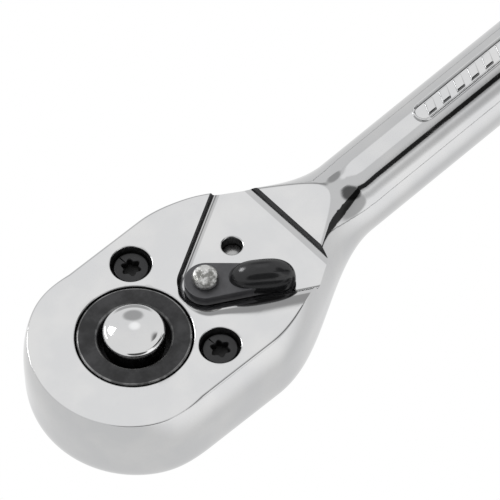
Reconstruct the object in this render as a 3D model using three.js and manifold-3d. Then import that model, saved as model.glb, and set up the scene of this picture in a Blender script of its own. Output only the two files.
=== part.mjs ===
// Half-inch reversible ratchet wrench with two pawls and a quick-release button.
// Millimetres. The origin is the centre of the drive square's end face, +Z runs along the
// drive axis towards the button, and +X points along the handle.
import * as THREE from 'three';
import { mergeVertices } from 'three/addons/utils/BufferGeometryUtils.js';
import Module from 'manifold-3d';

const wasm = await Module();
wasm.setup();

const { lerp, smoothstep, degToRad } = THREE.MathUtils;

// ---- Driving dimensions ----------------------------------------------------------------

const gap = 0.3; // running clearance between neighbouring pieces

// Heights along the drive axis
const squareTop = 15.6;
const headBottom = 16.5;
const coverTop = 19.5;
const cavityCeiling = 28.4;
const pocketFloor = 32.8;
const topFace = 35.5;

// Head and handle forging
const headHalfWidth = 21.8;
const headFrontRadius = 21.9;
const headFrontCentre = 0.4;
const headMidHeight = topFace - 9.2; // level of the widest outline
const neckStart = 18.4;
const neckEnd = 55.2;
const handleRadius = 8.0;
const gripRadius = 9.6;
const gripStart = 140;
const gripFull = 190;
const handleEnd = 229;
const buttRounding = 6;
const handleSlope = 0.051; // the handle rises towards its end
const handleAxisHeight = 26.95; // at the end of the neck

// Pocket for the reversing lever
const pivotX = 18.4;
const pocketApexRadius = 5.4;
const pocketWallAngle = degToRad(29.7);
const pocketEndX = 40.2;
const lipWidth = 1.1;
const lipHeight = 1.1;

// Drive gear
const toothCount = 48;
const toothTipRadius = 12.9;
const toothRootRadius = 12.4;
const gearBottom = 20.6;
const gearTop = cavityCeiling - gap;
const boreRadius = 11.5;
const upperHubRadius = 10.5;
const ringRadius = 11.1; // the hub's widest part, seen round the button
const lowerHubRadius = 9.5;
const buttonWellRadius = 7.13;
const buttonWellFloor = 28.8;
const squareSide = 12.7;
const rodBoreRadius = 2.85;
const rodBoreFloor = 2.5;

// Quick release
const ballRadius = 2.2;
const ballHeight = 7.9;
const ballOffset = 5.05;
const rodRadius = 2.55;
const buttonRadius = 6.04;

// Pawls
const pinX = 28.8;
const pinY = 4.0;
const pinRadius = 1.9;
const pawlBottom = 19.8;
const pawlTop = 26.4;
const pawlLift = degToRad(6); // how far a pawl turns to leave the gear
const springX = 20;

// Selector
const selectorRest = degToRad(-36.5);
const shaftRadius = 2.6;
const leverBottom = 33.1;
const leverTop = 35.8;
const detentDistance = 5.2;
const detentBallRadius = 1.0;

// Cover screws
const screwX = 10.6;
const screwY = 12.8;
const screwHeadRadius = 3.4;
const screwHeadTop = 34.3;
const screwHeadBottom = 31.7;
const screwShankRadius = 1.95;

// ---- Materials -------------------------------------------------------------------------

const finish = (color, roughness, metalness) => new THREE.MeshStandardMaterial({ color, roughness, metalness });
const chrome = finish(0xd8dadc, 0.12, 1);
const blackSteel = finish(0x232426, 0.38, 0.7);
const blackLever = finish(0x1b1c1e, 0.32, 0.6);
const brightSteel = finish(0xb4b5b3, 0.35, 1);
const springSteel = finish(0x8b8d90, 0.3, 1);
const rubber = finish(0x141414, 0.8, 0);

// ---- Solid modelling helpers -----------------------------------------------------------

// A closed geometry with shared corners, no empty triangles and its faces outwards.
function closed(source) {
  const bare = source.index ? source.clone() : source;
  bare.deleteAttribute('normal');
  bare.deleteAttribute('uv');
  const geometry = mergeVertices(bare, 1e-4);
  const position = geometry.getAttribute('position');
  const triangles = [];
  let volume = 0;
  const [a, b, c] = [new THREE.Vector3(), new THREE.Vector3(), new THREE.Vector3()];
  for (let i = 0; i < geometry.index.count; i += 3) {
    const [p, q, r] = [0, 1, 2].map((k) => geometry.index.getX(i + k));
    if (p === q || q === r || r === p) continue;
    triangles.push(p, q, r);
    a.fromBufferAttribute(position, p);
    b.fromBufferAttribute(position, q);
    c.fromBufferAttribute(position, r);
    volume += a.dot(b.cross(c));
  }
  geometry.setIndex(volume < 0 ? triangles.reverse() : triangles);
  return geometry;
}

function solid(source) {
  const geometry = closed(source);
  return new wasm.Manifold(new wasm.Mesh({
    numProp: 3,
    vertProperties: Float32Array.from(geometry.getAttribute('position').array),
    triVerts: Uint32Array.from(geometry.index.array),
  }));
}

function toGeometry(body) {
  const { vertProperties, triVerts } = body.getMesh();
  const geometry = new THREE.BufferGeometry();
  geometry.setAttribute('position', new THREE.BufferAttribute(vertProperties, 3));
  geometry.setIndex(new THREE.BufferAttribute(triVerts, 1));
  geometry.computeVertexNormals();
  return geometry;
}

const cut = (body, ...cutters) => cutters.reduce((rest, cutter) => rest.subtract(cutter), body);
const join = (body, ...others) => others.reduce((whole, other) => whole.add(other), body);

// Shapes in the XY plane, raised from one height to another.
function prism(shape, bottom, top, curveSegments = 12) {
  const geometry = new THREE.ExtrudeGeometry(shape, { depth: top - bottom, bevelEnabled: false, curveSegments });
  return solid(geometry.translate(0, 0, bottom));
}

function cylinder(radius, bottom, top, x = 0, y = 0, segments = 32) {
  const geometry = new THREE.CylinderGeometry(radius, radius, top - bottom, segments);
  return solid(geometry.rotateX(Math.PI / 2).translate(x, y, (bottom + top) / 2));
}

function cone(bottomRadius, topRadius, bottom, top, x, y, segments = 32) {
  const geometry = new THREE.CylinderGeometry(topRadius, bottomRadius, top - bottom, segments);
  return solid(geometry.rotateX(Math.PI / 2).translate(x, y, (bottom + top) / 2));
}

function box(low, high) {
  const size = high.map((value, i) => value - low[i]);
  const centre = high.map((value, i) => (value + low[i]) / 2);
  return solid(new THREE.BoxGeometry(...size).translate(...centre));
}

// A body turned about Z from its profile of [radius, height] pairs.
function turned(profile, segments = 32) {
  const points = profile.map(([radius, height]) => new THREE.Vector2(radius, height));
  return solid(new THREE.LatheGeometry(points, segments).rotateX(Math.PI / 2));
}

// A torus is closed, so it needs no joining or cutting.
const ring = (centreRadius, section, height, x = 0) =>
  new THREE.TorusGeometry(centreRadius, section, 6, 28).translate(x, 0, height);

// Joins a stack of convex outlines, each a list of Vector3, into one closed body.
function stack(outlines) {
  const count = outlines[0].length;
  const points = outlines.flat();
  const triangles = [];
  for (let level = 0; level < outlines.length - 1; level += 1) {
    for (let i = 0; i < count; i += 1) {
      const [a, b] = [level * count + i, level * count + ((i + 1) % count)];
      triangles.push(a, b, b + count, a, b + count, a + count);
    }
  }
  const last = (outlines.length - 1) * count;
  for (let i = 1; i < count - 1; i += 1) {
    triangles.push(0, i + 1, i, last, last + i, last + i + 1);
  }
  const geometry = new THREE.BufferGeometry().setFromPoints(points);
  geometry.setIndex(triangles);
  return solid(geometry);
}

// The outline that a belt would take round a few discs, each [x, y, radius].
function beltAround(discs, grow = 0) {
  const points = discs.flatMap(([x, y, radius]) => {
    const steps = 20;
    return Array.from({ length: steps }, (_, i) => {
      const angle = (i / steps) * 2 * Math.PI;
      return new THREE.Vector2(x + (radius + grow) * Math.cos(angle), y + (radius + grow) * Math.sin(angle));
    });
  });
  points.sort((p, q) => p.x - q.x || p.y - q.y);
  const turn = (o, p, q) => (p.x - o.x) * (q.y - o.y) - (p.y - o.y) * (q.x - o.x);
  const halfHull = (ordered) => {
    const hull = [];
    for (const point of ordered) {
      while (hull.length > 1 && turn(hull[hull.length - 2], hull[hull.length - 1], point) <= 1e-6) hull.pop();
      hull.push(point);
    }
    return hull.slice(0, -1);
  };
  return new THREE.Shape([...halfHull(points), ...halfHull(points.slice().reverse())]);
}

function roundedSquare(half, corner, height, perCorner = 4) {
  const points = [];
  for (let quarter = 0; quarter < 4; quarter += 1) {
    const middle = (quarter + 0.5) * (Math.PI / 2);
    const reach = (half - corner) * Math.SQRT2;
    for (let i = 0; i <= perCorner; i += 1) {
      const angle = (quarter + i / perCorner) * (Math.PI / 2);
      points.push(new THREE.Vector3(
        reach * Math.cos(middle) + corner * Math.cos(angle),
        reach * Math.sin(middle) + corner * Math.sin(angle),
        height,
      ));
    }
  }
  return points;
}

// A coil of round wire about a vertical axis through the origin.
function coil(radius, wireRadius, bottom, top, turns, stepsPerTurn = 10) {
  class Helix extends THREE.Curve {
    getPoint(t, target = new THREE.Vector3()) {
      const angle = t * turns * 2 * Math.PI;
      return target.set(radius * Math.cos(angle), radius * Math.sin(angle), lerp(bottom, top, t));
    }
  }
  const wire = new THREE.Shape().absarc(0, 0, wireRadius, 0, 2 * Math.PI);
  return closed(new THREE.ExtrudeGeometry(wire, {
    extrudePath: new Helix(), steps: Math.round(turns * stepsPerTurn), curveSegments: 3, bevelEnabled: false,
  }));
}

const mirrored = (body) => body.mirror([0, 1, 0]);

// ---- Forging: head, neck and handle in one piece ----------------------------------------

const handleAxis = (x) => handleAxisHeight + handleSlope * (x - neckEnd);

function handleRadiusAt(x) {
  const radius = lerp(handleRadius, gripRadius, smoothstep(x, gripStart, gripFull));
  const past = Math.max(0, x - (handleEnd - buttRounding));
  return radius - buttRounding + Math.sqrt(buttRounding ** 2 - past ** 2);
}

// Each half of the section is a superellipse: exponent 2 is round, and a larger one is squarer.
function sectionAt(x, frontness) {
  const toHandle = smoothstep(x, neckStart, neckEnd);
  const radius = handleRadiusAt(x);
  return {
    width: lerp(headReach(Math.PI / 2), radius, toHandle),
    middle: lerp(headMidHeight, handleAxis(x), toHandle),
    above: lerp(lerp(16.5, 24, frontness), radius, smoothstep(x, 30, neckEnd)),
    aboveExponent: lerp(2.5, 2, smoothstep(x, 28, 40)),
    below: lerp(10.9, radius, smoothstep(x, 25, neckEnd)),
    belowExponent: lerp(5, 2, smoothstep(x, neckStart, neckEnd)),
  };
}

// Plan distance from the front centre to the head's side, at an angle from +X.
function headReach(angle) {
  const sharpness = 24;
  const side = headHalfWidth / Math.abs(Math.sin(angle) || 1e-9);
  return (headFrontRadius ** -sharpness + side ** -sharpness) ** (-1 / sharpness);
}

// One side's section, from the ridge on top to the keel: [distance out, height] pairs.
function halfSection(section, steps) {
  return Array.from({ length: steps + 1 }, (_, i) => {
    const angle = (i / steps) * Math.PI;
    const upper = i <= steps / 2;
    const exponent = upper ? section.aboveExponent : section.belowExponent;
    const height = upper ? section.above : -section.below;
    const out = Math.max(0, Math.sin(angle)) ** (2 / exponent);
    const rise = Math.abs(Math.cos(angle)) ** (2 / exponent);
    const onRidge = i === 0 || i === steps;
    return [onRidge ? 0 : section.width * out, section.middle + height * rise];
  });
}

function forging() {
  const fanSteps = 12;
  const neckSteps = 11;
  const sectionSteps = 16;
  const rows = [];
  for (let i = 0; i <= fanSteps; i += 1) {
    const angle = Math.PI - (i / fanSteps) * (Math.PI / 2);
    const section = sectionAt(headFrontCentre, Math.abs(Math.cos(angle)));
    section.width = headReach(angle);
    rows.push(halfSection(section, sectionSteps).map(([out, height]) =>
      new THREE.Vector3(headFrontCentre + out * Math.cos(angle), out * Math.sin(angle), height)));
  }
  const stations = [neckStart];
  for (let i = 1; i <= neckSteps; i += 1) stations.push(lerp(neckStart, neckEnd, i / neckSteps));
  stations.push(gripStart);
  for (let i = 1; i <= 5; i += 1) stations.push(lerp(gripStart, gripFull, i / 5));
  for (let i = 0; i <= 4; i += 1) {
    stations.push(handleEnd - buttRounding + buttRounding * Math.sin((i / 4) * (Math.PI / 2)));
  }
  for (const x of stations) {
    rows.push(halfSection(sectionAt(x, 0), sectionSteps).map(([out, height]) => new THREE.Vector3(x, out, height)));
  }
  const across = sectionSteps + 1;
  const points = rows.flat();
  const total = points.length;
  const mirror = points.map((point) => new THREE.Vector3(point.x, -point.y, point.z));
  const triangles = [];
  for (let row = 0; row < rows.length - 1; row += 1) {
    for (let i = 0; i < sectionSteps; i += 1) {
      const a = row * across + i;
      const quad = [a, a + 1, a + across, a + 1, a + across + 1, a + across];
      triangles.push(...quad, ...quad.map((index) => index + total).reverse());
    }
  }
  const end = (rows.length - 1) * across;
  for (let i = 0; i < sectionSteps; i += 1) {
    const butt = [end, end + i, end + i + 1];
    triangles.push(...butt, ...butt.map((index) => index + total).reverse());
  }
  const geometry = new THREE.BufferGeometry().setFromPoints([...points, ...mirror]);
  geometry.setIndex(triangles);
  return solid(geometry);
}

// The lever pocket's outline at one height, widened by the rounded lip.
function pocketOutline(height, lip) {
  const radius = pocketApexRadius + lip;
  const points = [];
  const first = Math.PI / 2 + pocketWallAngle;
  const last = 1.5 * Math.PI - pocketWallAngle;
  const steps = 8;
  for (let i = 0; i <= steps; i += 1) {
    const angle = lerp(first, last, i / steps);
    points.push(new THREE.Vector3(pivotX + radius * Math.cos(angle), radius * Math.sin(angle), height));
  }
  const wallRun = pocketEndX - points[0].x;
  const endY = points[0].y + wallRun * Math.tan(pocketWallAngle);
  return [new THREE.Vector3(pocketEndX, endY, height), ...points, new THREE.Vector3(pocketEndX, -endY, height)];
}

function pocketCutter() {
  const outlines = [pocketOutline(pocketFloor, 0), pocketOutline(topFace - lipHeight, 0)];
  const lipSteps = 3;
  for (let i = 1; i <= lipSteps; i += 1) {
    const angle = (i / lipSteps) * (Math.PI / 2);
    outlines.push(pocketOutline(topFace - lipHeight * (1 - Math.sin(angle)), lipWidth * (1 - Math.cos(angle))));
  }
  outlines.push(pocketOutline(topFace + 8, lipWidth));
  return stack(outlines);
}

const cavityDiscs = [[12.9, 7.4, 2.1], [20, 9.5, 2.5], [pinX, 4.3, 3.9]];
const coverDiscs = [[0, 0, 16.4], [screwX, screwY, 3.4], [20, 9.5, 3.9], [pinX, pinY, 5.2]];
const bothSides = (discs) => discs.flatMap(([x, y, radius]) => [[x, y, radius], [x, -y, radius]]);

// A plain raised border with slanting bars, on the flat along the top of the handle.
function handleBadge() {
  const [start, end, halfWidth, border, height] = [74, 112, 2.2, 0.45, 0.35];
  const flatHeight = 7.8;
  const pill = (inset) => beltAround([[start + 2, 0, halfWidth - inset], [end - 2, 0, halfWidth - inset]]);
  const frame = cut(prism(pill(0), -0.4, height), prism(pill(border), -1, 1));
  const bars = Array.from({ length: 8 }, (_, i) => {
    const x = start + 4.5 + i * 4.1;
    const bar = new THREE.Shape([[-1.2, -1.1], [0.2, -1.1], [1.2, 1.1], [-0.2, 1.1]]
      .map(([dx, dy]) => new THREE.Vector2(x + dx, dy)));
    return prism(bar, -0.4, height);
  });
  const tilt = Math.atan(handleSlope);
  return join(frame, ...bars)
    .rotate([0, -THREE.MathUtils.radToDeg(tilt), 0])
    .translate([0, 0, handleAxis(0) + flatHeight]);
}

function handleFlatCutter() {
  const [start, end, flatHeight] = [56, 136, 7.8];
  const strip = beltAround([[start + 4, 0, 4], [end - 4, 0, 4]]);
  return prism(strip, 0, 6)
    .rotate([0, -THREE.MathUtils.radToDeg(Math.atan(handleSlope)), 0])
    .translate([0, 0, handleAxis(0) + flatHeight]);
}

function handleBody() {
  const body = cut(
    forging(),
    box([-40, -40, topFace], [neckEnd, 40, topFace + 60]),
    box([-40, -40, 0], [handleEnd, 40, headBottom]),
    handleFlatCutter(),
    pocketCutter(),
    cylinder(boreRadius, cavityCeiling - 1, topFace + 1, 0, 0, 48),
    cylinder(toothTipRadius + 0.4, coverTop - 1, cavityCeiling, 0, 0, 48),
    prism(beltAround(bothSides(cavityDiscs)), coverTop - 1, cavityCeiling),
    prism(beltAround(bothSides(coverDiscs), gap), headBottom - 1, coverTop + gap),
    cylinder(shaftRadius + gap, cavityCeiling - 1, pocketFloor + 1, pivotX),
    cylinder(detentBallRadius + gap, cavityCeiling - 1, 31.9, pivotX + detentDistance, 0, 24),
    ...[1, -1].flatMap((side) => [
      cylinder(screwHeadRadius + 0.66, screwHeadBottom - gap, topFace + 1, screwX, side * screwY),
      cylinder(screwShankRadius + gap, coverTop - 1, screwHeadBottom, screwX, side * screwY, 24),
      cylinder(pinRadius + gap, cavityCeiling - 1, pocketFloor + 1, pinX, side * pinY),
      cone(pinRadius + gap, pinRadius + gap + 0.6, pocketFloor - 0.4, pocketFloor + 0.2, pinX, side * pinY),
    ]),
  );
  return join(body, handleBadge());
}

// ---- Drive gear and quick release --------------------------------------------------------

function gearOutline(grow) {
  const points = [];
  for (let tooth = 0; tooth < toothCount; tooth += 1) {
    [[-0.1, toothTipRadius], [0.1, toothTipRadius], [0.5, toothRootRadius]]
      .forEach(([turn, radius]) => {
        const angle = ((tooth + turn) / toothCount) * 2 * Math.PI;
        points.push(new THREE.Vector2((radius + grow) * Math.cos(angle), (radius + grow) * Math.sin(angle)));
      });
  }
  return new THREE.Shape(points);
}

function driveSquare() {
  const half = squareSide / 2;
  return stack([
    roundedSquare(half - 0.6, 0.7, 0),
    roundedSquare(half, 0.9, 0.7),
    roundedSquare(half, 0.9, squareTop + 1),
  ]);
}

// The ball's hole narrows at the square's face, so the ball can't fall out.
function ballHole() {
  const lip = squareSide / 2 - 0.3;
  return [cylinder(ballRadius + gap, rodBoreRadius - 1, lip, 0, 0, 24), cylinder(2.07, lip - 1, squareSide, 0, 0, 24)]
    .map((hole) => hole.rotate([0, -90, 0]).translate([0, 0, ballHeight]));
}

function driveGear() {
  const hubs = turned([
    [0, squareTop], [8.7, squareTop], [lowerHubRadius, 16.3], [lowerHubRadius, 17.3], [8.65, 17.3], [8.65, 18.7],
    [lowerHubRadius, 18.7], [lowerHubRadius, 24], [upperHubRadius, 24], [upperHubRadius, 31], [9.95, 31],
    [9.95, 32.4], [ringRadius, 32.4], [ringRadius, topFace - 0.35], [ringRadius - 0.35, topFace],
    [buttonWellRadius + 0.4, topFace], [buttonWellRadius, topFace - 0.4], [buttonWellRadius, buttonWellFloor],
    [0, buttonWellFloor],
  ], 48);
  const teeth = prism(gearOutline(0), gearBottom, gearTop);
  const blank = join(hubs, driveSquare(), teeth);
  const well = cylinder(buttonWellRadius, buttonWellFloor, topFace + 1, 0, 0, 48);
  return cut(blank, well, cylinder(rodBoreRadius, rodBoreFloor, buttonWellFloor + 1), ...ballHole());
}

const thrustWasher = () => turned([[9.9, 19.8], [12.4, 19.8], [12.4, 20.3], [9.9, 20.3], [9.9, 19.8]]);

// The rod props the ball out with its full width, and lets it in at the groove.
const releaseRod = () => turned([
  [0, 5.9], [2.2, 5.9], [rodRadius, 6.25], [rodRadius, 8.4], [1.6, 8.8], [1.6, 12.6], [rodRadius, 13.2],
  [rodRadius, 31.7], [2.2, 31.7], [2.2, 35.7], [0, 35.7],
], 24);

const releaseButton = () => turned([
  [0, 36], [2.5, 36], [2.5, 32], [3.4, 32], [3.4, 36], [5.2, 36], [5.2, 33], [buttonRadius, 33],
  [buttonRadius, 37.7], [5.75, 38.2], [5.1, 38.5], [3, 38.85], [0, 39],
]);

// ---- Pawls ------------------------------------------------------------------------------

// The pawl on the +Y side, in mesh with the gear.
function pawl() {
  const blank = prism(beltAround([[pinX, pinY, 3.3], [12.4, 5.6, 1.7]]), pawlBottom, pawlTop);
  const toothClearance = 0.26; // the pawl slides across the teeth as it lifts
  return cut(
    blank,
    prism(gearOutline(toothClearance), pawlBottom - 1, pawlTop + 1),
    cylinder(pinRadius + gap, pawlBottom - 1, pawlTop + 1, pinX, pinY, 24),
  );
}

const pawlPin = (side) => cylinder(pinRadius, 17.5, 30.5, pinX, side * pinY, 24);

function coverPlate() {
  return cut(
    prism(beltAround(bothSides(coverDiscs)), headBottom, coverTop),
    cylinder(lowerHubRadius + gap, headBottom - 1, coverTop + 1, 0, 0, 48),
    ...[1, -1].flatMap((side) => [
      cylinder(screwShankRadius + gap, headBottom - 1, coverTop + 1, screwX, side * screwY, 24),
      cylinder(pinRadius + gap, headBottom + 0.7, coverTop + 1, pinX, side * pinY, 24),
    ]),
  );
}

// Cap screw with a six-lobed socket.
function coverScrew(side) {
  const lobes = Array.from({ length: 36 }, (_, i) => {
    const angle = (i / 36) * 2 * Math.PI;
    const radius = 1.68 + 0.27 * Math.cos(6 * angle);
    return new THREE.Vector2(radius * Math.cos(angle), radius * Math.sin(angle));
  });
  const shape = turned([
    [0, headBottom + 0.3], [1.6, headBottom + 0.3], [screwShankRadius, 17.2], [screwShankRadius, screwHeadBottom],
    [screwHeadRadius, screwHeadBottom], [screwHeadRadius, screwHeadTop - 0.4], [screwHeadRadius - 0.4, screwHeadTop],
    [0, screwHeadTop],
  ], 28);
  const socket = prism(new THREE.Shape(lobes), screwHeadTop - 1.7, screwHeadTop + 1);
  return cut(shape, socket).translate([screwX, side * screwY, 0]);
}

// ---- Selector: shaft with cam below, lever above ------------------------------------------

const polar = (distance, degrees, radius) => [
  distance * Math.cos(degToRad(degrees)), distance * Math.sin(degToRad(degrees)), radius,
];

// Along +X from the pivot, so the group that holds it turns it to its rest position.
function selectorShaft() {
  const post = turned([
    [0, 20.2], [2.2, 20.2], [2.2, 26.7], [shaftRadius, 26.7], [shaftRadius, 30], [1.95, 30], [1.95, 31.4],
    [shaftRadius, 31.4], [shaftRadius, 32.7], [0, 32.7],
  ], 24);
  const lobeAngle = 126.5;
  const cam = prism(beltAround([[0, 0, 2.2], polar(2.35, lobeAngle, 1.1), polar(2.35, -lobeAngle, 1.1)]), 20.2, 27);
  const [sectorRadius, sectorHalfAngle] = [6.6, degToRad(48)];
  const sector = new THREE.Shape();
  sector.moveTo(0, 0);
  sector.lineTo(sectorRadius * Math.cos(sectorHalfAngle), -sectorRadius * Math.sin(sectorHalfAngle));
  sector.absarc(0, 0, sectorRadius, -sectorHalfAngle, sectorHalfAngle);
  const flange = prism(sector, 26.7, cavityCeiling - gap);
  const neck = stack([roundedSquare(1.5, 0.3, 32), roundedSquare(1.5, 0.3, 36.5)]);
  const rivet = turned([[0, 36.1], [2.6, 36.1], [2.6, 37.2], [2.3, 37.7], [1.3, 38], [0, 38.05]], 24);
  return join(post, cam, flange, neck, rivet);
}

function selectorLever() {
  const plate = prism(beltAround([[0, 0, 4.14], [14.93, 0, 2.32]]), leverBottom, leverTop);
  const hump = solid(new THREE.CapsuleGeometry(3, 6.6, 5, 16).rotateZ(Math.PI / 2).translate(10.6, 0, 35.9));
  const under = box([-20, -20, 0], [40, 20, leverBottom]);
  const hole = stack([roundedSquare(1.8, 0.3, 30), roundedSquare(1.8, 0.3, 40)]);
  return cut(join(plate, hump), under, hole);
}

// ---- Assembly ---------------------------------------------------------------------------

const wrench = new THREE.Group();

function place(name, body, material, parent = wrench) {
  const mesh = new THREE.Mesh(body.isBufferGeometry ? body : toGeometry(body), material);
  mesh.name = name;
  parent.add(mesh);
  return mesh;
}

place('handle_body', handleBody(), chrome);
place('cover_plate', coverPlate(), blackSteel);
place('drive_gear', driveGear(), blackSteel);
place('thrust_washer', thrustWasher(), brightSteel);
place('bore_seal', ring(10.75, 0.42, 31.7), rubber);
place('drive_seal', ring(9.2, 0.35, 18), rubber);
place('release_rod', releaseRod(), brightSteel);
place('release_button', releaseButton(), chrome);
place('release_spring', coil(4.3, 0.35, 29.5, 35.3, 4, 12), springSteel);
place('socket_ball', solid(new THREE.SphereGeometry(ballRadius, 16, 10)), brightSteel)
  .position.set(-ballOffset, 0, ballHeight);

for (const [side, label] of [[1, 'left'], [-1, 'right']]) {
  place(`cover_screw_${label}`, coverScrew(side), blackSteel);
  place(`pawl_pin_${label}`, pawlPin(side), brightSteel);
  // The left pawl is held off the gear, so its spring is the shorter one.
  const outerFace = side > 0 ? 8.75 : 7.6;
  const wall = 11.1;
  const spring = place(`pawl_spring_${label}`, coil(1.3, 0.25, outerFace, wall, 3.5, 8), springSteel);
  spring.position.set(springX, 0, 23.2);
  spring.rotation.x = side > 0 ? -Math.PI / 2 : Math.PI / 2;
}

place('pawl_right', mirrored(pawl()), blackSteel);
const liftedPawl = new THREE.Group();
liftedPawl.position.set(pinX, pinY, 0);
liftedPawl.rotation.z = -pawlLift;
wrench.add(liftedPawl);
place('pawl_left', pawl().translate([-pinX, -pinY, 0]), blackSteel, liftedPawl);

const selector = new THREE.Group();
selector.position.x = pivotX;
selector.rotation.z = selectorRest;
wrench.add(selector);
place('selector_shaft', selectorShaft(), brightSteel, selector);
place('selector_lever', selectorLever(), blackLever, selector);

place('selector_seal', ring(2.43, 0.28, 30.7, pivotX), rubber);
place('detent_ball', solid(new THREE.SphereGeometry(detentBallRadius, 12, 8)), brightSteel)
  .position.set(pivotX + detentDistance, 0, 29.3);
place('detent_spring', coil(0.7, 0.16, 30.6, 31.6, 2.5, 8), springSteel).position.x = pivotX + detentDistance;

export default wrench;
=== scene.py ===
"""Looks for the ratchet wrench, drawn round its CAD frame.

Sizes are in millimetres and become metres where a mesh is made. Sizes inside materials are metres.
"""

import math

import bmesh
import bpy
import numpy as np
from mathutils import Matrix, Vector


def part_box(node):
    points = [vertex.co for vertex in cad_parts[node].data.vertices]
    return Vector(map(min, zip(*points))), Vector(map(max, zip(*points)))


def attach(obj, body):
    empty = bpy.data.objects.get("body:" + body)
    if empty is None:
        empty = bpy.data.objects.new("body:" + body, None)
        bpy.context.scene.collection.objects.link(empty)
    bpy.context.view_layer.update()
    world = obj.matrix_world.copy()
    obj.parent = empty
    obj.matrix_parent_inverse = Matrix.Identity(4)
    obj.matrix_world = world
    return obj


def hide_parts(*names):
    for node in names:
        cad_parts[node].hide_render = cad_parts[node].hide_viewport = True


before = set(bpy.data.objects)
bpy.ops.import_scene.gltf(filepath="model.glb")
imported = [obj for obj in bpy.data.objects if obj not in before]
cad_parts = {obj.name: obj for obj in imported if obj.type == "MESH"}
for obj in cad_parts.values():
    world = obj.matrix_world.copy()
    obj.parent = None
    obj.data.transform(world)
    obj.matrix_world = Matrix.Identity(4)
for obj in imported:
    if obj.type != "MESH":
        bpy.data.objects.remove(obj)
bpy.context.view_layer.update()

MM = 0.001


def cad(node, corner, axis):
    """One side of a CAD node's box, in millimetres: corner 0 is the low one, 1 the high one."""
    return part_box(node)[corner][axis] / MM


# ---- Driving dimensions, in millimetres -----------------------------------------------------

# Heights inside and outside the head
TOP_FACE = 35.5
HEAD_BOTTOM = cad("handle_body", 0, 2)
HANDLE_END = cad("handle_body", 1, 0)
COVER_TOP = cad("cover_plate", 1, 2)
CEILING = 28.4
POCKET_FLOOR = 32.8

# The forging: x runs from the gear's axis along the handle
HEAD_HALF_WIDTH = 21.8
HEAD_FRONT_RADIUS = 21.9
HEAD_FRONT_CENTRE = 0.4
HEAD_MIDDLE = TOP_FACE - 9.2
SIDE_CROWN = 16.5
FRONT_CROWN = 24
HEAD_BELOW = 10.9
NECK_START = 18.4
NECK_END = 55.2
HANDLE_RADIUS = 8.0
GRIP_RADIUS = 9.6
GRIP_START = 140.0
GRIP_FULL = 190.0
BUTT_ROUNDING = 6.0
HANDLE_SLOPE = 0.051
HANDLE_AXIS_HEIGHT = 26.95
FLAT_HEIGHT = 7.8
FLAT_START = 55.0
FLAT_END = 136.0

# The bore, the gear in it and the drive square
BORE_RADIUS = 11.5
HUB_RADIUS = 10.5
LOWER_HUB_RADIUS = 9.5
RING_RADIUS = 11.15
WELL_RADIUS = 7.13
WELL_FLOOR = 28.8
TOOTH_COUNT = 48
TOOTH_TIP = 12.9
TOOTH_ROOT = 12.4
SQUARE_HALF = 6.35
SQUARE_TOP = 15.6

# The lever's pocket and the selector
PIVOT_X = 18.4
POCKET_APEX = 5.4
POCKET_WALL_ANGLE = math.radians(29.7)
POCKET_END_X = 40.2
LEVER_REST = math.radians(-36.5)
SHAFT_RADIUS = 2.6
LEVER_BOTTOM = 33.1
LEVER_TOP = 35.8
DETENT_DISTANCE = 5.2

# Screws and pins, one each side of the X axis
SCREW_X, SCREW_Y = 10.6, 12.8
SCREW_HEAD_RADIUS = 3.4
SCREW_HEAD_TOP = 34.3
SCREW_HEAD_BOTTOM = 31.7
SCREW_SHANK = 1.95
PIN_X, PIN_Y, PIN_RADIUS = 28.8, 4.0, 1.9

# Room left round a fitted piece
GAP = 0.3


# ---- Camera -----------------------------------------------------------------------------------

CAMERA_TARGET = (25.771, -4.944, 44.089)
CAMERA_DISTANCE = 1530.7
CAMERA_AZIMUTH = math.radians(-40.145)
CAMERA_ELEVATION = math.radians(56.213)
CAMERA_ROLL = math.radians(-2.612)
CAMERA_LENS = 576.0


def add_camera():
    """A long lens, looking at the target from the front and above, and rolled a little."""
    back = Vector((
        math.sin(CAMERA_AZIMUTH) * math.cos(CAMERA_ELEVATION),
        -math.cos(CAMERA_AZIMUTH) * math.cos(CAMERA_ELEVATION),
        math.sin(CAMERA_ELEVATION),
    ))
    right = (-back).cross(Vector((0, 0, 1))).normalized()
    up = right.cross(-back)
    turned_right = math.cos(CAMERA_ROLL) * right + math.sin(CAMERA_ROLL) * up
    turned_up = -math.sin(CAMERA_ROLL) * right + math.cos(CAMERA_ROLL) * up
    data = bpy.data.cameras.new("camera")
    data.lens = CAMERA_LENS
    data.sensor_width = 36.0
    data.clip_end = 10.0
    camera = bpy.data.objects.new("camera", data)
    place = (Vector(CAMERA_TARGET) + CAMERA_DISTANCE * back) * MM
    turn = Matrix((turned_right, turned_up, back)).transposed().to_4x4()
    camera.matrix_world = Matrix.Translation(place) @ turn
    bpy.context.scene.collection.objects.link(camera)
    bpy.context.scene.camera = camera


# ---- Material helpers ---------------------------------------------------------------------------

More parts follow.
